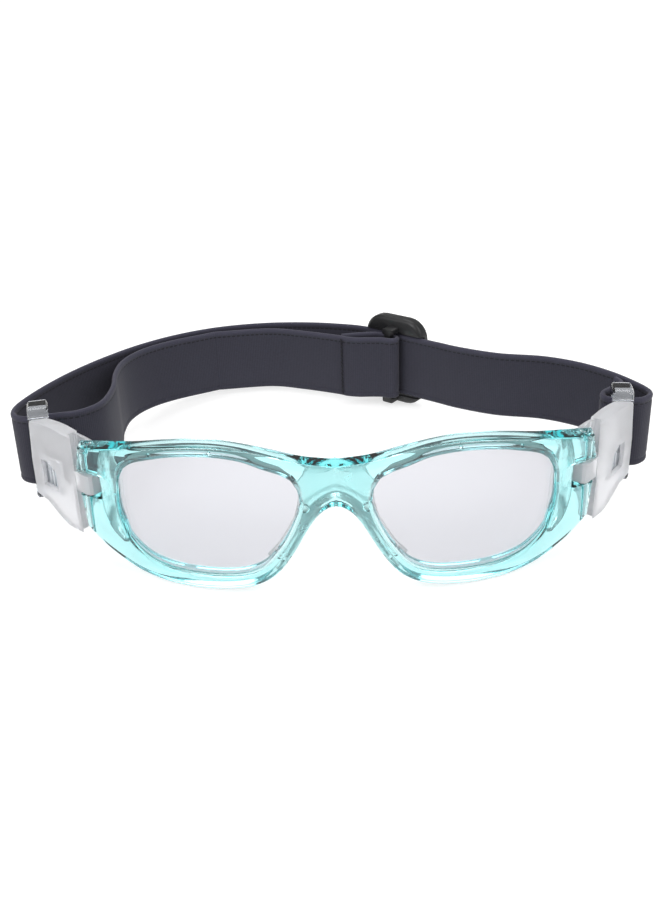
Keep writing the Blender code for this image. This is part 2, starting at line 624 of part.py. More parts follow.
def slab(outline_fn, layers):
    return loft([[(*adj_xy(s, n), z) for s, z in outline_fn(inset)] for n, inset in layers])


plate = slab(lambda i: rounded(-GLIDE_HALF + i, GLIDE_HALF - i, GLIDE_LOW + i, GLIDE_HIGH - i, 7.0 - i, 7),
             [(-3.9, 1.3), (-3.5, 0.5), (-2.8, 0.0), (0.0, 0.0), (0.7, 0.5), (1.1, 1.3)])
strap_way = slab(lambda i: rounded(-20, 20, STRAP_LOW - 0.45, STRAP_HIGH + 0.45, 0.4, 2),
                 [(-1.1, 0), (9.0, 0)])
slots = [slab(lambda i, a=a, b=b: rounded(a, b, STRAP_LOW - 0.3, STRAP_HIGH + 0.3, 0.8),
              [(-9, 0), (9, 0)]) for a, b in ((-8.8, 8.8),)]
glide = boolean(plate, [strap_way] + slots)
bar = [slab(lambda i: rounded(-1.5 + i, 1.5 - i, STRAP_LOW - 2.4, STRAP_HIGH + 2.4, 0.4, 3),
            [(3.05, 0.3), (3.3, 0), (4.5, 0), (4.8, 0.3)])]
for z0, z1 in ((STRAP_LOW - 2.6, STRAP_LOW - 0.6), (STRAP_HIGH + 0.6, STRAP_HIGH + 2.6)):
    bar.append(slab(lambda i, z0=z0, z1=z1: rounded(-2.2, 2.2, z0, z1, 0.5, 3), [(0.2, 0), (4.7, 0)]))
glide = boolean(glide, bar, "UNION")
GLIDE_LEVEL = lowest([v.co for v in glide.verts])
glide = boolean(glide, [below_table(GLIDE_LEVEL + 0.12)])
add("tri_glide", tidy(glide), BLACK, slide, (*ADJ_CENTRE, 5.75), 40)

print("rim level", RIM_LEVEL, "adjuster level", GLIDE_LEVEL + 0.12)
lean.location = (1.031 * MM, -60.296 * MM, -min(RIM_LEVEL, GLIDE_LEVEL + 0.12) * MM)
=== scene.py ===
import json
import math

import bmesh
import bpy
import numpy as np
from mathutils import Matrix, Vector


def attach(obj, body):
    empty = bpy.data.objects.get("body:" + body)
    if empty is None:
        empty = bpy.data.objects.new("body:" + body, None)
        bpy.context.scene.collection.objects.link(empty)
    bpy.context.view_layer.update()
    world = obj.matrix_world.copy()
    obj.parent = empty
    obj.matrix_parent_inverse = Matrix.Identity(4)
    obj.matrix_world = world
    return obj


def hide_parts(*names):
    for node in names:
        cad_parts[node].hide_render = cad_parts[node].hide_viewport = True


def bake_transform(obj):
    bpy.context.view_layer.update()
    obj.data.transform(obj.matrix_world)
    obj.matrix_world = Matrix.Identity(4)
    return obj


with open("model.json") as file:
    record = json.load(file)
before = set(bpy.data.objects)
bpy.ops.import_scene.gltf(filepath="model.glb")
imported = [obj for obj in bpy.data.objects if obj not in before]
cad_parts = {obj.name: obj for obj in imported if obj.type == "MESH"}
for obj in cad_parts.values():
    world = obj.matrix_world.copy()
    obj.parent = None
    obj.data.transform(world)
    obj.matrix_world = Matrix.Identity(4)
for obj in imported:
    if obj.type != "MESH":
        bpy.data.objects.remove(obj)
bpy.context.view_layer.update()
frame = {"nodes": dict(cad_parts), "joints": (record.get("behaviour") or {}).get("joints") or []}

MM = 0.001
LEAN_DEG = 8.3
WRAP_RADIUS = 145.0            # the front is wrapped round a face of this radius
FRAME_DEPTH = 6.5
EDGE_ROUND = 1.1
GROOVE_FRONT, GROOVE_BACK, GROOVE_DEEP = 1.9, 4.3, 1.3
LENS_FRONT, LENS_THICK, LENS_TUCK = 2.2, 1.8, 1.0
PIN_X, PIN_Z, PIN_RADIUS, CLEAR = 70.9, 1.4, 1.0, 0.3
KNUCKLE_TOP, KNUCKLE_BOTTOM = 7.9, 1.2
PIN_LOOSE = PIN_RADIUS + CLEAR   # bore of the knuckles
PIN_SINK, PIN_SINK_FLOOR = 2.0, 14.0  # wider bore round each pin's head, and where it starts
BEYOND = 30.0                  # a cutter that ends here is clear of the front
PEG_RADIUS, PEG_SOCKET = 0.9, 1.2
PEG_START, SOCKET_START = 4.85, 4.55  # depths in the front of a peg's tip and its socket's floor
DIMPLE_RADIUS, DIMPLE_DEEP = 0.5, 0.8
SWELL = 0.25                   # how far the front face bulges forward between its edges
TONGUE_REACH = 20.5            # the loops' ribbed tongues lie within this distance of the pins
STRAP_LOW, STRAP_HIGH, STRAP_THICK = -5.5, 17.0, 1.6
STRAP_MID = (STRAP_LOW + STRAP_HIGH) / 2
SELVEDGE = 2.0                 # from the band's edge in to its edge stitch
ADJ_CENTRE, ADJ_DIR = (21.5, 105.2), (0.794, -0.608)


def wrap(x):
    return x * x / (2 * WRAP_RADIUS)


PIN_Y = wrap(PIN_X) + 3.25
joints = {j["name"]: j for j in frame["joints"]}
turn = Matrix.Rotation(-math.radians(LEAN_DEG), 4, "X")
place = Vector(joints["arm_left_hinge"]["pos_m"]) - turn @ (Vector((PIN_X, PIN_Y, PIN_Z)) * MM)
LEAN = Matrix.Translation(place) @ turn @ Matrix.Scale(MM, 4)


# ---- shape helpers -----------------------------------------------------------------------
def spline(points, steps):
    """Catmull-Rom curve through the given points."""
    p = [np.array(q, float) for q in points]
    p = [2 * p[0] - p[1]] + p + [2 * p[-1] - p[-2]]
    out = []
    for a, b, c, d in zip(p, p[1:], p[2:], p[3:]):
        for t in np.arange(steps) / steps:
            out.append(0.5 * (2 * b + (c - a) * t + (2 * a - 5 * b + 4 * c - d) * t ** 2
                              + (3 * b - a - 3 * c + d) * t ** 3))
    return np.array(out + [p[-2]])


def even(points, gap):
    """The same curve with stations about `gap` apart."""
    p = np.array(points, float)
    s = np.r_[0, np.cumsum(np.linalg.norm(np.diff(p[:, :2], axis=0), axis=1))]
    at = np.linspace(0, s[-1], max(2, round(s[-1] / gap)) + 1)
    return np.stack([np.interp(at, s, p[:, k]) for k in range(p.shape[1])], 1)


def loft(rings, closed=False):
    """Skin through rings of points; open lofts get flat end caps."""
    bm = bmesh.new()
    vs = [[bm.verts.new(tuple(map(float, q))) for q in r] for r in rings]
    for a, b in zip(vs, vs[1:] + vs[:1] if closed else vs[1:]):
        for k in range(len(a)):
            j = (k + 1) % len(a)
            bm.faces.new((a[k], a[j], b[j], b[k]))
    if not closed:
        bm.faces.new(vs[0])
        bm.faces.new(list(reversed(vs[-1])))
    return bm


def drum(centre, axis, radius, lo, hi, n=32):
    """Round bar along one axis, for pins, pegs and drilled holes."""
    u, v = [k for k in range(3) if k != axis]
    rings = []
    for h in (lo, hi):
        ring = []
        for a in np.arange(n) * 2 * math.pi / n:
            c = list(map(float, centre))
            c[axis] = h
            c[u] += radius * math.cos(a)
            c[v] += radius * math.sin(a)
            ring.append(c)
        rings.append(ring)
    return loft(rings)


def solid(bm):
    """Scratch object in millimetres for the boolean below."""
    bmesh.ops.recalc_face_normals(bm, faces=bm.faces)
    mesh = bpy.data.meshes.new("scratch")
    bm.to_mesh(mesh)
    bm.free()
    obj = bpy.data.objects.new("scratch", mesh)
    bpy.context.scene.collection.objects.link(obj)
    return obj


def boolean(bm, others, how="DIFFERENCE"):
    base = solid(bm)
    for other in others:
        tool = solid(other)
        mod = base.modifiers.new("b", "BOOLEAN")
        mod.operation, mod.solver, mod.object = how, "EXACT", tool
        done = base.evaluated_get(bpy.context.evaluated_depsgraph_get()).to_mesh().copy()
        base.modifiers.clear()
        base.data = done
        bpy.data.objects.remove(tool, do_unlink=True)
    out = bmesh.new()
    out.from_mesh(base.data)
    bpy.data.objects.remove(base, do_unlink=True)
    return out


def piece(name, bm, mat, body, replaces=(), sharp=32, bevel=0.0):
    """A finished piece: moved to the row frame, smooth with crisp edges, riding on its body."""
    bmesh.ops.remove_doubles(bm, verts=bm.verts, dist=0.004)
    bmesh.ops.recalc_face_normals(bm, faces=bm.faces)
    bm.transform(LEAN)
    limit = math.radians(sharp)
    mesh = bpy.data.meshes.new(name)
    bm.to_mesh(mesh)
    bm.free()
    obj = bpy.data.objects.new(name, mesh)
    bpy.context.scene.collection.objects.link(obj)
    mesh.materials.append(mat)
    if bevel:
        mod = obj.modifiers.new("soft edges", "BEVEL")
        mod.width, mod.segments, mod.limit_method, mod.angle_limit = bevel * MM, 2, "ANGLE", limit
        settle(obj)
    crisp(obj.data, limit)
    if body:
        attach(obj, body)
    if replaces:
        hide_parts(*replaces)
    return obj


def settle(obj):
    """Applies the object's modifiers to its mesh."""
    done = obj.evaluated_get(bpy.context.evaluated_depsgraph_get()).to_mesh().copy()
    obj.modifiers.clear()
    obj.data = done


def crisp(mesh, limit):
    """Edges sharper than the limit stay crisp, and the rest shade smoothly."""
    bm = bmesh.new()
    bm.from_mesh(mesh)
    for f in bm.faces:
        f.smooth = True
    for e in bm.edges:
        e.smooth = not (len(e.link_faces) == 2 and e.calc_face_angle(0) > limit)
    bm.to_mesh(mesh)
    bm.free()


# ---- materials ---------------------------------------------------------------------------
def shader(name, colour, rough, **sockets):
    """Material with one Principled shader; returns it with its node tree and shader."""
    mat = bpy.data.materials.new(name)
    mat.use_nodes = True
    tree = mat.node_tree
    b = tree.nodes["Principled BSDF"]
    b.inputs["Base Color"].default_value = (*colour, 1)
    b.inputs["Roughness"].default_value = rough
    for key, value in sockets.items():
        b.inputs[key.replace("_", " ")].default_value = value
    return mat, tree, b


def node(tree, kind, links=(), **values):
    n = tree.nodes.new(kind)
    for key, value in values.items():
        if hasattr(n, key):
            setattr(n, key, value)
        else:
            n.inputs[key.replace("_", " ")].default_value = value
    for socket, source in links:
        tree.links.new(source, n.inputs[socket])
    return n


def object_coords(tree):
    return node(tree, "ShaderNodeTexCoord").outputs["Object"]


def grain(tree, scale, detail=3.0):
    return node(tree, "ShaderNodeTexNoise", [("Vector", object_coords(tree))], Scale=scale,
                Detail=detail)


def vary_rough(tree, b, scale, low, high):
    """Roughness that drifts a little over the surface, as handling and moulding leave it."""
    ramp = node(tree, "ShaderNodeMapRange", [("Value", grain(tree, scale).outputs["Fac"])])
    ramp.inputs["From Min"].default_value, ramp.inputs["From Max"].default_value = 0.3, 0.7
    ramp.inputs["To Min"].default_value, ramp.inputs["To Max"].default_value = low, high
    tree.links.new(ramp.outputs["Result"], b.inputs["Roughness"])


def bumpy(tree, b, height, strength, distance):
    bump = node(tree, "ShaderNodeBump", [("Height", height)], Strength=strength, Distance=distance)
    tree.links.new(bump.outputs["Normal"], b.inputs["Normal"])


def absorb(tree, colour, density):
    vol = node(tree, "ShaderNodeVolumeAbsorption", Color=(*colour, 1), Density=density)
    tree.links.new(vol.outputs["Volume"], tree.nodes["Material Output"].inputs["Volume"])


def clear_plastic(name, colour, rough, tint, density, ior=1.55, flow=0.05):
    """Injection-moulded clear plastic: coloured through its depth, with faint flow ripples."""
    mat, tree, b = shader(name, colour, rough, Transmission_Weight=1.0, IOR=ior)
    vary_rough(tree, b, 180, rough * 0.6, rough * 1.5)
    bumpy(tree, b, grain(tree, 90, 1.5).outputs["Fac"], flow, 0.0004)
    if density:
        absorb(tree, tint, density)
    return mat


def frosted_plastic(name, colour, rough, transmission, tint=None, density=0.0):
    """Translucent plastic with a fine spark-eroded skin."""
    mat, tree, b = shader(name, colour, rough, Transmission_Weight=transmission, IOR=1.49)
    vary_rough(tree, b, 220, rough * 0.85, rough * 1.15)
    bumpy(tree, b, grain(tree, 2600, 2).outputs["Fac"], 0.12, 0.0001)
    if density:
        absorb(tree, tint, density)
    return mat


def black_plastic(name):
    mat, tree, b = shader(name, (0.006, 0.006, 0.007), 0.4)
    vary_rough(tree, b, 300, 0.34, 0.5)
    bumpy(tree, b, grain(tree, 3200, 3).outputs["Fac"], 0.35, 0.0001)
    return mat


def sewing_thread(name):
    """Twisted polyester thread: fine rough strands."""
    mat, tree, b = shader(name, (0.008, 0.008, 0.013), 0.8)
    vary_rough(tree, b, 900, 0.7, 0.9)
    bumpy(tree, b, grain(tree, 5200, 3).outputs["Fac"], 0.4, 0.0001)
    return mat


def webbing(name, dark, light):
    """Elastic woven in fine ribs: u runs along the band in mm, v across it in mm."""
    mat, tree, b = shader(name, dark, 0.9, Sheen_Weight=0.08, Sheen_Roughness=0.5)
    uv = node(tree, "ShaderNodeUVMap", uv_map="band")
    rib = node(tree, "ShaderNodeTexWave", [("Vector", uv.outputs["UV"])], wave_type="BANDS",
               bands_direction="Y", Scale=0.66, Distortion=0.25, Detail=1.0)
    pick = node(tree, "ShaderNodeTexWave", [("Vector", uv.outputs["UV"])], wave_type="BANDS",
                bands_direction="X", Scale=0.5, Distortion=0.3, Detail=1.0)
    weave = node(tree, "ShaderNodeMath", [(0, rib.outputs["Fac"]), (1, pick.outputs["Fac"])],
                 operation="MULTIPLY")
    drawn = node(tree, "ShaderNodeMapping", [("Vector", uv.outputs["UV"])])
    drawn.inputs["Scale"].default_value = (0.45, 1.6, 1)
    fuzz = node(tree, "ShaderNodeTexNoise", [("Vector", drawn.outputs["Vector"])], Scale=1.9,
                Detail=6.0)
    cloth = node(tree, "ShaderNodeMath", [(0, weave.outputs[0]), (1, fuzz.outputs["Fac"])],
                 operation="ADD")
    ramp = node(tree, "ShaderNodeValToRGB", [("Fac", cloth.outputs[0])])
    ramp.color_ramp.elements[0].position, ramp.color_ramp.elements[1].position = 0.35, 1.3
    ramp.color_ramp.elements[0].color = (*dark, 1)
    ramp.color_ramp.elements[1].color = (*light, 1)
    split = node(tree, "ShaderNodeSeparateXYZ", [("Vector", uv.outputs["UV"])])
    # dashes of the edge stitch, a short way in from the top selvedge
    half = (STRAP_HIGH - STRAP_LOW) / 2
    off = node(tree, "ShaderNodeMath", [(0, split.outputs["Y"])], operation="SUBTRACT")
    off.inputs[1].default_value = half - SELVEDGE
    near = node(tree, "ShaderNodeMath", [(0, off.outputs[0])], operation="ABSOLUTE")
    near = node(tree, "ShaderNodeMath", [(0, near.outputs[0])], operation="LESS_THAN")
    near.inputs[1].default_value = 0.28
    dash = node(tree, "ShaderNodeMath", [(0, split.outputs["X"])], operation="PINGPONG")
    dash.inputs[1].default_value = 0.85
    dash = node(tree, "ShaderNodeMath", [(0, dash.outputs[0])], operation="GREATER_THAN")
    dash.inputs[1].default_value = 0.3
    mask = node(tree, "ShaderNodeMath", [(0, near.outputs[0]), (1, dash.outputs[0])],
                operation="MULTIPLY")
    mix = node(tree, "ShaderNodeMix", [("Factor", mask.outputs[0])], data_type="RGBA")
    tree.links.new(ramp.outputs["Color"], mix.inputs["A"])
    mix.inputs["B"].default_value = (*[c * 0.6 for c in dark], 1)
    # painted highlight: the rolled selvedge above the stitch is painted paler, as light catching the
    # band's top edge; the bottom selvedge is left unlit
    painted_top_highlight = node(tree, "ShaderNodeMapRange", [("Value", split.outputs["Y"])])
    painted_top_highlight.inputs["From Min"].default_value = half - 1.6
    painted_top_highlight.inputs["From Max"].default_value = half - 0.9
    painted_top_highlight.inputs["To Max"].default_value = 0.6
    edge = node(tree, "ShaderNodeMix", [("Factor", painted_top_highlight.outputs["Result"])], data_type="RGBA")
    tree.links.new(mix.outputs["Result"], edge.inputs["A"])
    edge.inputs["B"].default_value = (*[c * 1.5 for c in light], 1)
    tree.links.new(edge.outputs["Result"], b.inputs["Base Color"])
    rise = node(tree, "ShaderNodeMath", [(0, cloth.outputs[0]), (1, mask.outputs[0])],
                operation="SUBTRACT")
    bumpy(tree, b, rise.outputs[0], 0.3, 0.00016)
    return mat


LOOP_TINT = (0.62, 0.66, 0.74)
AQUA = clear_plastic("aqua_polycarbonate", (0.95, 0.98, 0.98), 0.03, (0.25, 0.935, 0.955), 112)
LENS = clear_plastic("lens_polycarbonate", (0.68, 0.68, 0.72), 0.01, (1, 1, 1), 0, ior=1.5,
                     flow=0.0)
PAD = frosted_plastic("pad_elastomer", (0.97, 0.985, 0.98), 0.30, 0.9)
SIDE_PAD = frosted_plastic("side_pad_elastomer", (1.0, 1.0, 1.0), 0.18, 0.95)
FROST = frosted_plastic("frosted_arm_plastic", (0.90, 0.905, 0.93), 0.34, 0.68)
LOOP = clear_plastic("loop_plastic", (0.92, 0.94, 0.97), 0.05, LOOP_TINT, 45, ior=1.45, flow=0.0)
TONGUE = frosted_plastic("loop_tongue_plastic", (0.86, 0.90, 0.94), 0.30, 0.35, LOOP_TINT, 45)
WEB = webbing("strap_webbing", (0.018, 0.018, 0.029), (0.029, 0.028, 0.045))
THREAD = sewing_thread("seam_thread")
BLACK = black_plastic("adjuster_plastic")
PIN = clear_plastic("pin_plastic", (0.93, 0.96, 0.97), 0.06, (0.7, 0.9, 0.92), 40, ior=1.5)

# ---- front frame -------------------------------------------------------------------------
CORNER = True
PAIRS = [
    ((0, 16.9), (12.2, 12.8), CORNER), ((9.2, 17.9), (15.2, 14.4)), ((17.5, 19.8), (19.6, 15.8)),
    ((25.5, 21.2), (25.4, 17.8)), ((32.5, 21.8), (32, 18.5)), ((40, 21.4), (39, 18.2)),
    ((48, 20.2), (45.6, 17.2)), ((56, 18.6), (51.3, 15.7)), ((65, 17.2), (56, 14.1)),
    ((72.8, 15.8), (59.0, 12.0), CORNER), ((74.0, 8.2), (60.5, 9.2), CORNER),
    ((66.9, KNUCKLE_TOP), (61.2, 6.6), CORNER), ((66.7, KNUCKLE_BOTTOM), (61.45, 1.0), CORNER),
    ((73.5, KNUCKLE_BOTTOM - 0.1), (61.2, -2.6), CORNER), ((72.6, -9.3), (59.3, -10.2), CORNER),
    ((67.5, -14.3), (57.0, -13.1)), ((61.7, -18.1), (53.8, -15.7)), ((56.0, -20.9), (50.0, -17.3)),
    ((49.3, -22.6), (45.4, -18.3)), ((41.6, -23.2), (39.5, -18.65)), ((34, -22.9), (33, -18.45)),
    ((27.5, -22.0), (27.4, -17.7)), ((22.2, -20.4), (23.3, -16.3)), ((17.7, -17.5), (19.9, -14.1)),
    ((14.2, -13.4), (17.1, -10.8)), ((11.0, -8.2), (14.8, -7.5)), ((8.1, -2.8), (12.7, -3.6)),
    ((5.2, 1.7), (11.0, 0.4)), ((2.4, 4.2), (10.1, 3.6)), ((0, 4.9), (9.75, 6.3), CORNER),
    ((0, 12.2), (10.4, 9.8)),
]
PEGS = [(8.2, 3.0), (15.7, -12.1)]
DIMPLES = [(50.7, 17.6), (33.6, 20.0)]


def paired_outline():
    """Outer and opening points side by side round the half frame, corners kept."""
    corners = [i for i, p in enumerate(PAIRS) if len(p) == 3]
    out = []
    for a, b in zip(corners, corners[1:] + [corners[0] + len(PAIRS)]):
        run = [np.r_[PAIRS[k % len(PAIRS)][0], PAIRS[k % len(PAIRS)][1]] for k in range(a, b + 1)]
        out += list(even(spline(run, 12), 1.7)[:-1]) if b - a > 2 else list(spline(run, 2)[:-1])
    out = np.array(out)
    return out[:, :2], out[:, 2:]


def rightward(line, i):
    """Unit normal on the right of a clockwise outline: into the shape it encloses."""
    d = line[(i + 1) % len(line)] - line[(i - 1) % len(line)]
    v = np.array([d[1], -d[0]])
    return v / max(np.linalg.norm(v), 1e-9)


QUARTER = np.radians([0, 22.5, 45, 67.5, 90])


def rim_ring(sign, b, a, nb, na):
    """Section of the rim between outer point b and opening point a, grooved for the lens."""
    d, r = FRAME_DEPTH, EDGE_ROUND

    def q(p, deep):
        return (sign * p[0], wrap(p[0]) + deep, p[1])
    easing = [(r * (1 - math.cos(t)), r * (1 - math.sin(t))) for t in QUARTER]
    ring = [q(a + o * na, e) for o, e in easing]
    front_a, front_b = a + r * na, b + r * nb
    ring += [q(front_a + f * (front_b - front_a), -SWELL * math.sin(math.pi * f))
             for f in (0.25, 0.5, 0.75)]
    first = len(ring)
    ring += [q(b + o * nb, e) for o, e in reversed(easing)]
    ring += [q(b + o * nb, d - e) for o, e in easing]
    last = len(ring) - 1
    ring += [q(a + o * na, d - e) for o, e in reversed(easing)]
    ring += [q(a, GROOVE_BACK), q(a + GROOVE_DEEP * na, GROOVE_BACK),
             q(a + GROOVE_DEEP * na, GROOVE_FRONT), q(a, GROOVE_FRONT)]
    return ring, first, last


def front_shell():
    outer, inner = paired_outline()
    bm = bmesh.new()
    for sign in (1, -1):
        rows, middles = [], []
        for i, (b, a) in enumerate(zip(outer, inner)):
            nb, na = rightward(outer, i), -rightward(inner, i)
            middle = abs(b[0]) < 1e-6
            if middle:
                nb = np.array([0.0, -1.0 if b[1] > 19.4 else 1.0 if b[1] < 5.0 else 0.0])
            ring, first, last = rim_ring(sign, b, a, nb, na)
            rows.append([bm.verts.new(tuple(map(float, p))) for p in ring])
            middles.append(middle)
        n, k = len(rows), len(rows[0])
        for i in range(n):
            j = (i + 1) % n
            for m in range(k):
                if middles[i] and middles[j] and first <= m < last:
                    continue
                w = (m + 1) % k
                bm.faces.new((rows[i][m], rows[j][m], rows[j][w], rows[i][w]))
    bmesh.ops.remove_doubles(bm, verts=bm.verts, dist=0.01)
    bmesh.ops.delete(bm, geom=[v for v in bm.verts if not v.link_faces], context="VERTS")
    cuts = []
    for s in (1, -1):
        cuts.append(drum((s * PIN_X, PIN_Y, 0), 2, PIN_LOOSE, -BEYOND, BEYOND))
        cuts.append(drum((s * PIN_X, PIN_Y, 0), 2, PIN_SINK, PIN_SINK_FLOOR, BEYOND))
        for x, z in PEGS:
            cuts.append(drum((s * x, 0, z), 1, PEG_SOCKET, wrap(x) + SOCKET_START, BEYOND))
        for x, z in DIMPLES:
            cuts.append(drum((s * x, 0, z), 1, DIMPLE_RADIUS, -5, wrap(x) + DIMPLE_DEEP, 24))
    return boolean(bm, cuts)


piece("front_shell", front_shell(), AQUA, "front", ["front_frame"], sharp=38)


# ---- lenses ------------------------------------------------------------------------------
def lens(sign):
    """Curved lens whose edge sits in the rim's groove."""
    opening = paired_outline()[1]
    edge = np.array([p - LENS_TUCK * rightward(opening, i) for i, p in enumerate(opening)])
    centre = np.array([35.6, 0.0])
    bm = bmesh.new()
    sides = []
    for deep in (LENS_FRONT, LENS_FRONT + LENS_THICK):
        rows = [[bm.verts.new((sign * float(p[0]), wrap(float(p[0])) + deep, float(p[1])))
                 for p in centre + (edge - centre) * f] for f in np.linspace(1, 0.1, 10)]
        hub = bm.verts.new((sign * centre[0], wrap(centre[0]) + deep, 0))
        for a, b in zip(rows, rows[1:]):
            for k in range(len(a)):
                j = (k + 1) % len(a)
                bm.faces.new((a[k], a[j], b[j], b[k]))
        for k in range(len(edge)):
            bm.faces.new((rows[-1][k], rows[-1][(k + 1) % len(edge)], hub))
        sides.append(rows[0])
    for k in range(len(edge)):
        j = (k + 1) % len(edge)
        bm.faces.new((sides[0][k], sides[0][j], sides[1][j], sides[1][k]))
    return bm


for sign, side in ((1, "left"), (-1, "right")):
    piece("lens_sheet_" + side, lens(sign), LENS, "front", ["lens_" + side])

# ---- nose pad ----------------------------------------------------------------------------
# notch edge point, how far the plate climbs the frame from it, how far the skirt reaches back
NOSE = [((0, 5.6), 9.4, 3.6), ((3.2, 4.4), 9.9, 3.6), ((6.2, 1.2), 5.2, 3.8),
        ((9.0, -3.6), 3.4, 4.0), ((11.8, -8.8), 3.1, 4.2), ((14.6, -13.2), 3.0, 4.2),
        ((17.6, -16.6), 2.7, 3.8)]


def nose_saddle():
    right = [np.array([x, z, up, back]) for (x, z), up, back in NOSE]
    left = [p * [-1, 1, 1, 1] for p in reversed(right[1:])]
    stations = spline(left + right, 6)
    rings = []
    for i, (x, z, climb, reach) in enumerate(stations):
        a, b = stations[max(0, i - 1)][:2], stations[min(len(stations) - 1, i + 1)][:2]
        t = (b - a) / np.linalg.norm(b - a)
        up = np.array([-t[1], t[0]]) * (1 if t[0] > 0 else -1)
        ends = min(i, len(stations) - 1 - i)
        taper = min(1.0, 0.6 + 0.1 * ends)
        climb = climb * taper

        def q(across, deep):
            c = np.array([x, z]) + up * across
            return (c[0], wrap(c[0]) + FRAME_DEPTH + CLEAR + deep, c[1])
        rings.append([q(0.0, 0.5), q(0.15, 0.15), q(0.5, 0.0), q(climb * 0.5, 0.0), q(climb - 0.5, 0.0),
                      q(climb - 0.1, 0.1), q(climb, 0.4), q(climb, 1.0), q(climb - 0.15, 1.35),
                      q(climb - 0.5, 1.5), q(3.2, 1.6), q(2.6, 1.75), q(2.35, 2.2), q(2.3, 2.8),
                      q(2.6, reach - 0.5), q(2.45, reach - 0.15), q(2.1, reach), q(1.5, reach),
                      q(1.15, reach - 0.2), q(0.95, reach - 0.7), q(0.2, 2.0)])
    pegs = [drum((s * x, 0, z), 1, PEG_RADIUS, wrap(x) + PEG_START, wrap(x) + FRAME_DEPTH + 1.0, 24)
            for s in (1, -1) for x, z in PEGS]
    return boolean(loft(rings), pegs, "UNION")


nose = piece("nose_saddle", nose_saddle(), PAD, "front", ["nose_pad"], sharp=50)

# ---- side pads ---------------------------------------------------------------------------
CRESCENT = [((62.6, 16.0), 1.6, 1.6), ((64.3, 12.6), 3.2, 4.6), ((65.1, 6.5), 3.6, 6.6),
            ((65.0, 0.0), 3.6, 7.2), ((64.4, -5.5), 3.4, 6.6), ((62.9, -10.4), 3.0, 4.6),
            ((60.6, -14.0), 1.6, 1.6)]
PAD_SECTION = [(-0.5, 0.1), (-0.46, 0.02), (-0.35, 0), (0, 0), (0.35, 0), (0.46, 0.02), (0.5, 0.1),
               (0.48, 0.35), (0.42, 0.6), (0.33, 0.82), (0.2, 0.95), (0.05, 1.0), (-0.1, 0.98),
               (-0.25, 0.9), (-0.36, 0.76), (-0.44, 0.55), (-0.49, 0.3)]


def side_crescent(sign):
    rings = []
    for x, z, wide, deep in spline([np.r_[c, w, d] for c, w, d in CRESCENT], 6):
        rings.append([(sign * (x + u * wide - 0.22 * v * deep),
                       wrap(x + u * wide) + FRAME_DEPTH + CLEAR + v * deep, z) for u, v in PAD_SECTION])
    return loft(rings)


for sign, side in ((1, "left"), (-1, "right")):
    pad = piece("side_crescent_" + side, side_crescent(sign), SIDE_PAD, "front", ["side_pad_" + side],
                sharp=50)


# ---- moulded pieces that keep their CAD shape, with rounded edges -------------------------
def softened(name, source, mat, body, width, sharp=30):
    """The CAD node's own shape with its edges rounded over."""
    bm = bmesh.new()
    bm.from_mesh(frame["nodes"][source].data)
    bm.transform(LEAN.inverted())
    bmesh.ops.remove_doubles(bm, verts=bm.verts, dist=0.004)
    bmesh.ops.dissolve_limit(bm, angle_limit=math.radians(1.5), verts=bm.verts, edges=bm.edges)
    return piece(name, bm, mat, body, [source], sharp=sharp, bevel=width)


for side in ("left", "right"):
    body = "arm_" + side
    softened("arm_moulding_" + side, "side_arm_" + side, FROST, body, 0.35)
    loop = softened("loop_moulding_" + side, "strap_loop_" + side, LOOP, body, 0.3)
    # the ribbed tongue held in the arm is spark-eroded, the loop behind it polished
    loop.data.materials.append(TONGUE)
    for face in loop.data.polygons:
        x, y, z = LEAN.inverted() @ face.center
        face.material_index = int(math.hypot(abs(x) - PIN_X, y - PIN_Y) < TONGUE_REACH)
    softened("pin_turned_" + side, "hinge_pin_" + side, PIN, "front", 0.12)
softened("adjuster_moulding", "tri_glide", BLACK, "adjuster", 0.45)

# ---- elastic strap -----------------------------------------------------------------------
adj, adj_t = np.array(ADJ_CENTRE), np.array(ADJ_DIR)
adj_n = np.array([adj_t[1], -adj_t[0]])      # towards the wearer


def at_adjuster(s, n):
    return tuple(adj + adj_t * s + adj_n * n)


RIGHT_OUTER = [at_adjuster(-13, 0), (3, 116.4), (-10, 119.3), (-26, 119.8), (-42, 116.6),
               (-56, 109.8), (-68, 100.2), (-78, 88.6), (-86.4, 76), (-92.8, 63), (-97.0, 51),
               (-97.6, 44.5)]
RIGHT_FOLD = [(-97.6, 44.5), (-95.9, 40.8), (-92.4, 39.1), (-89.0, 39.6), (-84.4, 41.2),
              (-77, 43.5)]
RIGHT_INNER = [(-77, 43.5), (-71.8, 50), (-70.6, 62), (-72, 74), (-71.4, 85), (-67, 94.6),
               (-58.5, 102.6), (-43, 111.4), (-24, 113.6), (-12, 110.2), at_adjuster(-15.8, 13.0)]
LEFT_OUTER = [at_adjuster(27, 0), (55, 82.2), (69, 78.4), (79.4, 72.2), (87.3, 64.0),
              (92.7, 55.4), (95.6, 48.6)]
LEFT_FOLD = [(95.6, 48.6), (95.1, 44.8), (92.2, 42.1), (89.2, 41.7), (86.2, 42.0), (83.2, 42.5),
             (81.3, 44.4), (81.6, 47.4), (84.0, 50.2), (87.2, 52.6), (89.2, 55.6), (88.2, 58.8)]
SEWN = [at_adjuster(*p) for p in (
    (-15.4, 13.0), (-12, 12.6), (-8, 11.0), (-4, 8.2), (-1, 6.4), (1.6, 5.9), (3.2, 4.2),
    (2.6, 2.5), (0.6, 1.95), (-3, 2.05), (-7, 3.2), (-11, 6.6), (-14, 10.0), (-15.2, 11.2))]


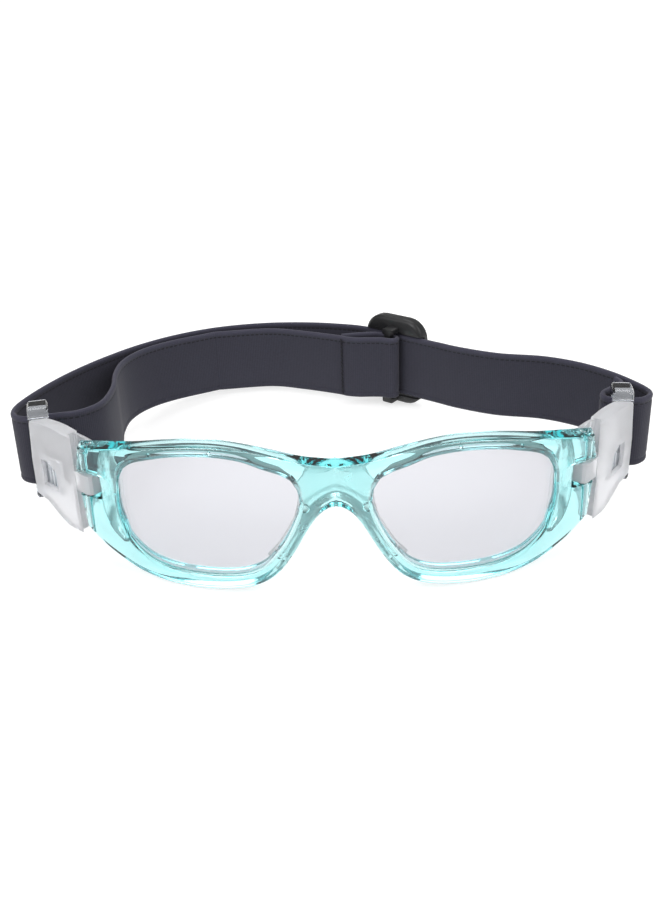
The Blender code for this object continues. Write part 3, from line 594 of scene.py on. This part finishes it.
def band_section():
    """The band's section: rolled selvedges at top and bottom, stitch grooves and a flat web."""
    web, bead = STRAP_THICK / 2 - 0.06, STRAP_THICK / 2
    top = [(0.0, 0.0), (0.38, 0.08), (0.66, 0.34), (bead, 0.75), (bead, 1.2), (0.7, 1.65),
           (0.56, SELVEDGE), (0.66, 2.35), (web, 2.9)]
    height = STRAP_HIGH - STRAP_LOW
    side = [(h, STRAP_HIGH - e) for h, e in top]
    side += [(web, STRAP_LOW + height * f) for f in (0.72, 0.58, 0.42, 0.28)]
    side += [(h, STRAP_LOW + e) for h, e in reversed(top)]
    return side + [(-h, z) for h, z in reversed(side[1:-1])]


def band(path, start=0.0, gap=0.9):
    """Woven band standing on its edge along a plan curve, with a UV map in millimetres of band."""
    pts = even(spline(path, 10), gap)
    section = band_section()
    n = len(section)
    rings, along = [], start
    us = []
    for i, p in enumerate(pts):
        a, b = pts[max(0, i - 1)], pts[min(len(pts) - 1, i + 1)]
        t = (b - a) / np.linalg.norm(b - a)
        side = np.array([-t[1], t[0]])
        if i:
            along += np.linalg.norm(p - pts[i - 1])
        us.append(along)
        rings.append([(*(p + side * o), z) for o, z in section])
    bm = bmesh.new()
    layer = bm.loops.layers.uv.new("band")
    vs = [[bm.verts.new(tuple(map(float, q))) for q in r] for r in rings]
    for i in range(len(vs) - 1):
        for k in range(n):
            j = (k + 1) % n
            f = bm.faces.new((vs[i][k], vs[i][j], vs[i + 1][j], vs[i + 1][k]))
            here, there, low, high = us[i], us[i + 1], section[k][1], section[j][1]
            for lp, (u, z) in zip(f.loops, ((here, low), (here, high), (there, high), (there, low))):
                lp[layer].uv = (u, z - STRAP_MID)
    for ring, u in ((vs[0], us[0]), (list(reversed(vs[-1])), us[-1])):
        f = bm.faces.new(ring)
        for lp in f.loops:
            lp[layer].uv = (u, 0)
    return bm, along


inner = list(reversed(RIGHT_INNER))
right_path = (inner[3:] + list(reversed(RIGHT_FOLD))[1:] + list(reversed(RIGHT_OUTER))[1:]
              + [at_adjuster(-2, 0)])
left_path = [at_adjuster(s, 0) for s in (-2, 8, 18)] + LEFT_OUTER + LEFT_FOLD[1:]
sewn_path = list(reversed(SEWN))[:-1] + inner[:4]
bm, length = band(sewn_path)
end_piece = piece("strap_adjuster_end", bm, WEB, None, ["strap_sewn_end"],
                  sharp=60)
bm, length = band(right_path, length)
right_piece = piece("strap_right_side", bm, WEB, None,
                    ["strap_inner_run", "strap_fold_right", "strap_outer_run"],
                    sharp=60)
bm, length = band(left_path, length)
left_piece = piece("strap_left_side", bm, WEB, None, ["strap_fold_left"],
                   sharp=60)
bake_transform(end_piece)
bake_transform(right_piece)
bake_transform(left_piece)


# ---- stitched seams ----------------------------------------------------------------------
SEAM_INSET = 0.8     # from the band's edges to the ends of a bar of stitching


def seam(name, at, direction, lift, body, source):
    """Zig-zag bar of thread across the band, pulled into its surface."""
    t = np.array(direction) / np.linalg.norm(direction)
    side = np.array([t[1], -t[0]])
    rings = []
    n = 61
    for i in range(n):
        z = STRAP_LOW + SEAM_INSET + (STRAP_HIGH - STRAP_LOW - 2 * SEAM_INSET) * i / (n - 1)
        mid = np.array(at) + t * 0.42 * math.sin(math.pi * i / 2)
        rings.append([(*(mid + t * 0.22 * math.cos(a) + side * (lift + 0.2 * math.sin(a))), z)
                      for a in np.arange(8) * math.pi / 4])
    return piece(name, loft(rings), THREAD, body, [source], sharp=60)


seam("seam_thread_adjuster", at_adjuster(-13.4, 12.85), adj_t, STRAP_THICK / 2 + 0.05, "adjuster",
     "seam_adjuster")
seam("seam_thread_arm", (88.9, 57.2), (-0.22, 0.975), -STRAP_THICK / 2 - 0.05, "arm_left",
     "seam_arm")

# ---- floor, light and camera -------------------------------------------------------------
floor_mat, tree, b = shader("pale_table", (0.45, 0.45, 0.45), 0.8)
b.inputs["Emission Color"].default_value = (1, 1, 1, 1)
b.inputs["Emission Strength"].default_value = 0.68
bm = bmesh.new()
bmesh.ops.create_grid(bm, x_segments=2, y_segments=2, size=6)
mesh = bpy.data.meshes.new("table")
bm.to_mesh(mesh)
bm.free()
mesh.materials.append(floor_mat)
floor = bpy.data.objects.new("table", mesh)
floor.location.z = -0.0001
bpy.context.scene.collection.objects.link(floor)

sky = bpy.data.worlds.new("studio")
sky.use_nodes = True
dome = sky.node_tree
ray = node(dome, "ShaderNodeTexCoord").outputs["Generated"]
height = node(dome, "ShaderNodeSeparateXYZ", [("Vector", ray)])
# a white tent overhead that falls away to a dim room at the horizon
tent = node(dome, "ShaderNodeValToRGB", [("Fac", height.outputs["Z"])])
for stop, grey in zip(tent.color_ramp.elements, (0.6, 1.0)):
    stop.color = (grey, grey, grey, 1)
tent.color_ramp.elements[0].position, tent.color_ramp.elements[1].position = 0.10, 0.42
dome.links.new(tent.outputs["Color"], dome.nodes["Background"].inputs["Color"])
dome.nodes["Background"].inputs["Strength"].default_value = 0.47
bpy.context.scene.world = sky


def softbox(name, at, size, power, aim=(0, 0, 0.02)):
    light = bpy.data.lights.new(name, "AREA")
    light.shape, light.size, light.size_y, light.energy = "RECTANGLE", size[0], size[1], power
    obj = bpy.data.objects.new(name, light)
    obj.location = at
    obj.rotation_euler = (Vector(aim) - Vector(at)).to_track_quat("-Z", "Y").to_euler()
    bpy.context.scene.collection.objects.link(obj)


softbox("key_left", (-0.7, -0.5, 0.8), (0.6, 0.6), 5.6)
softbox("key_right", (0.7, -0.45, 0.8), (0.6, 0.6), 5.0)
softbox("top", (0, 0.35, 1.1), (1.0, 0.6), 6.2)

VIEW_TARGET = (-0.0001, -0.0571, 0.0465)
VIEW_DISTANCE, VIEW_AZIMUTH, VIEW_ELEVATION, VIEW_ROLL = 0.275, 0.95, 34.0, -1.96
camera_data = bpy.data.cameras.new("camera")
camera_data.sensor_width = 36.0
camera_data.lens = 42.0
camera_data.clip_start = 0.01
camera = bpy.data.objects.new("camera", camera_data)
az, el = math.radians(VIEW_AZIMUTH), math.radians(VIEW_ELEVATION)
back = Vector((math.sin(az) * math.cos(el), -math.cos(az) * math.cos(el), math.sin(el)))
camera.location = Vector(VIEW_TARGET) + back * VIEW_DISTANCE
camera.rotation_euler = (back.to_track_quat("Z", "Y").to_matrix()
                         @ Matrix.Rotation(math.radians(VIEW_ROLL), 3, "Z")).to_euler()
bpy.context.scene.collection.objects.link(camera)
bpy.context.scene.camera = camera
bpy.context.scene.view_settings.view_transform = "Standard"
